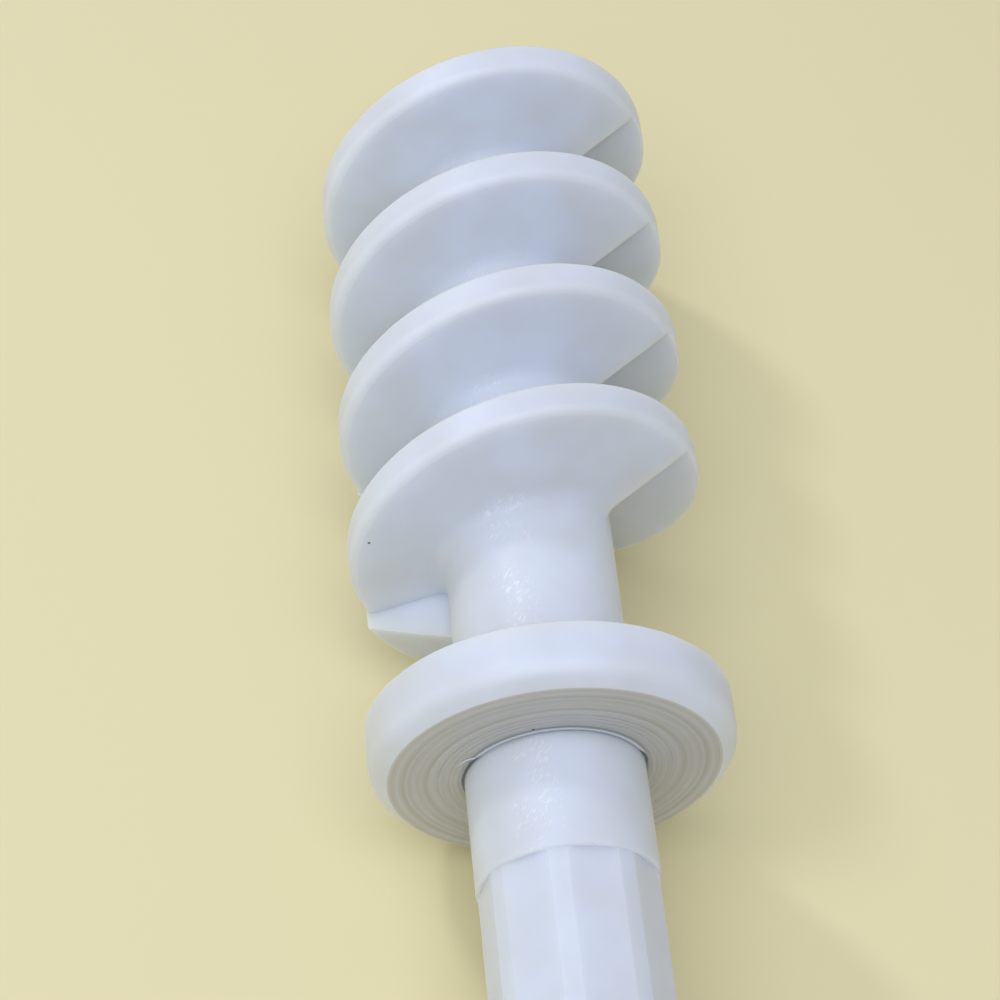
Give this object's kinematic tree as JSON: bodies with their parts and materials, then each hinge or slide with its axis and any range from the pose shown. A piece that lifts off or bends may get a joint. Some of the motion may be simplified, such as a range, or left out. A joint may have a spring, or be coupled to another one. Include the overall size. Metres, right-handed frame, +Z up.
{
  "type": "pasta maker auger",
  "caption": "White plastic screw auger that pushes dough through a pasta maker's barrel, with a thrust collar, round journal and faceted drive end.",
  "frame": {"origin": "on the axis, in the plane of the collar's thrust face", "axes": "+Y along the axis from the drive end to the screw's end, +Z up as it lies, +X to the right seen from the drive end"},
  "size_m": [0.046, 0.152, 0.046],
  "materials": {
    "acetal_white": "machined, satin"
  },
  "bodies": {
    "root": {"auger": "acetal_white"}
  },
  "joints": []
}
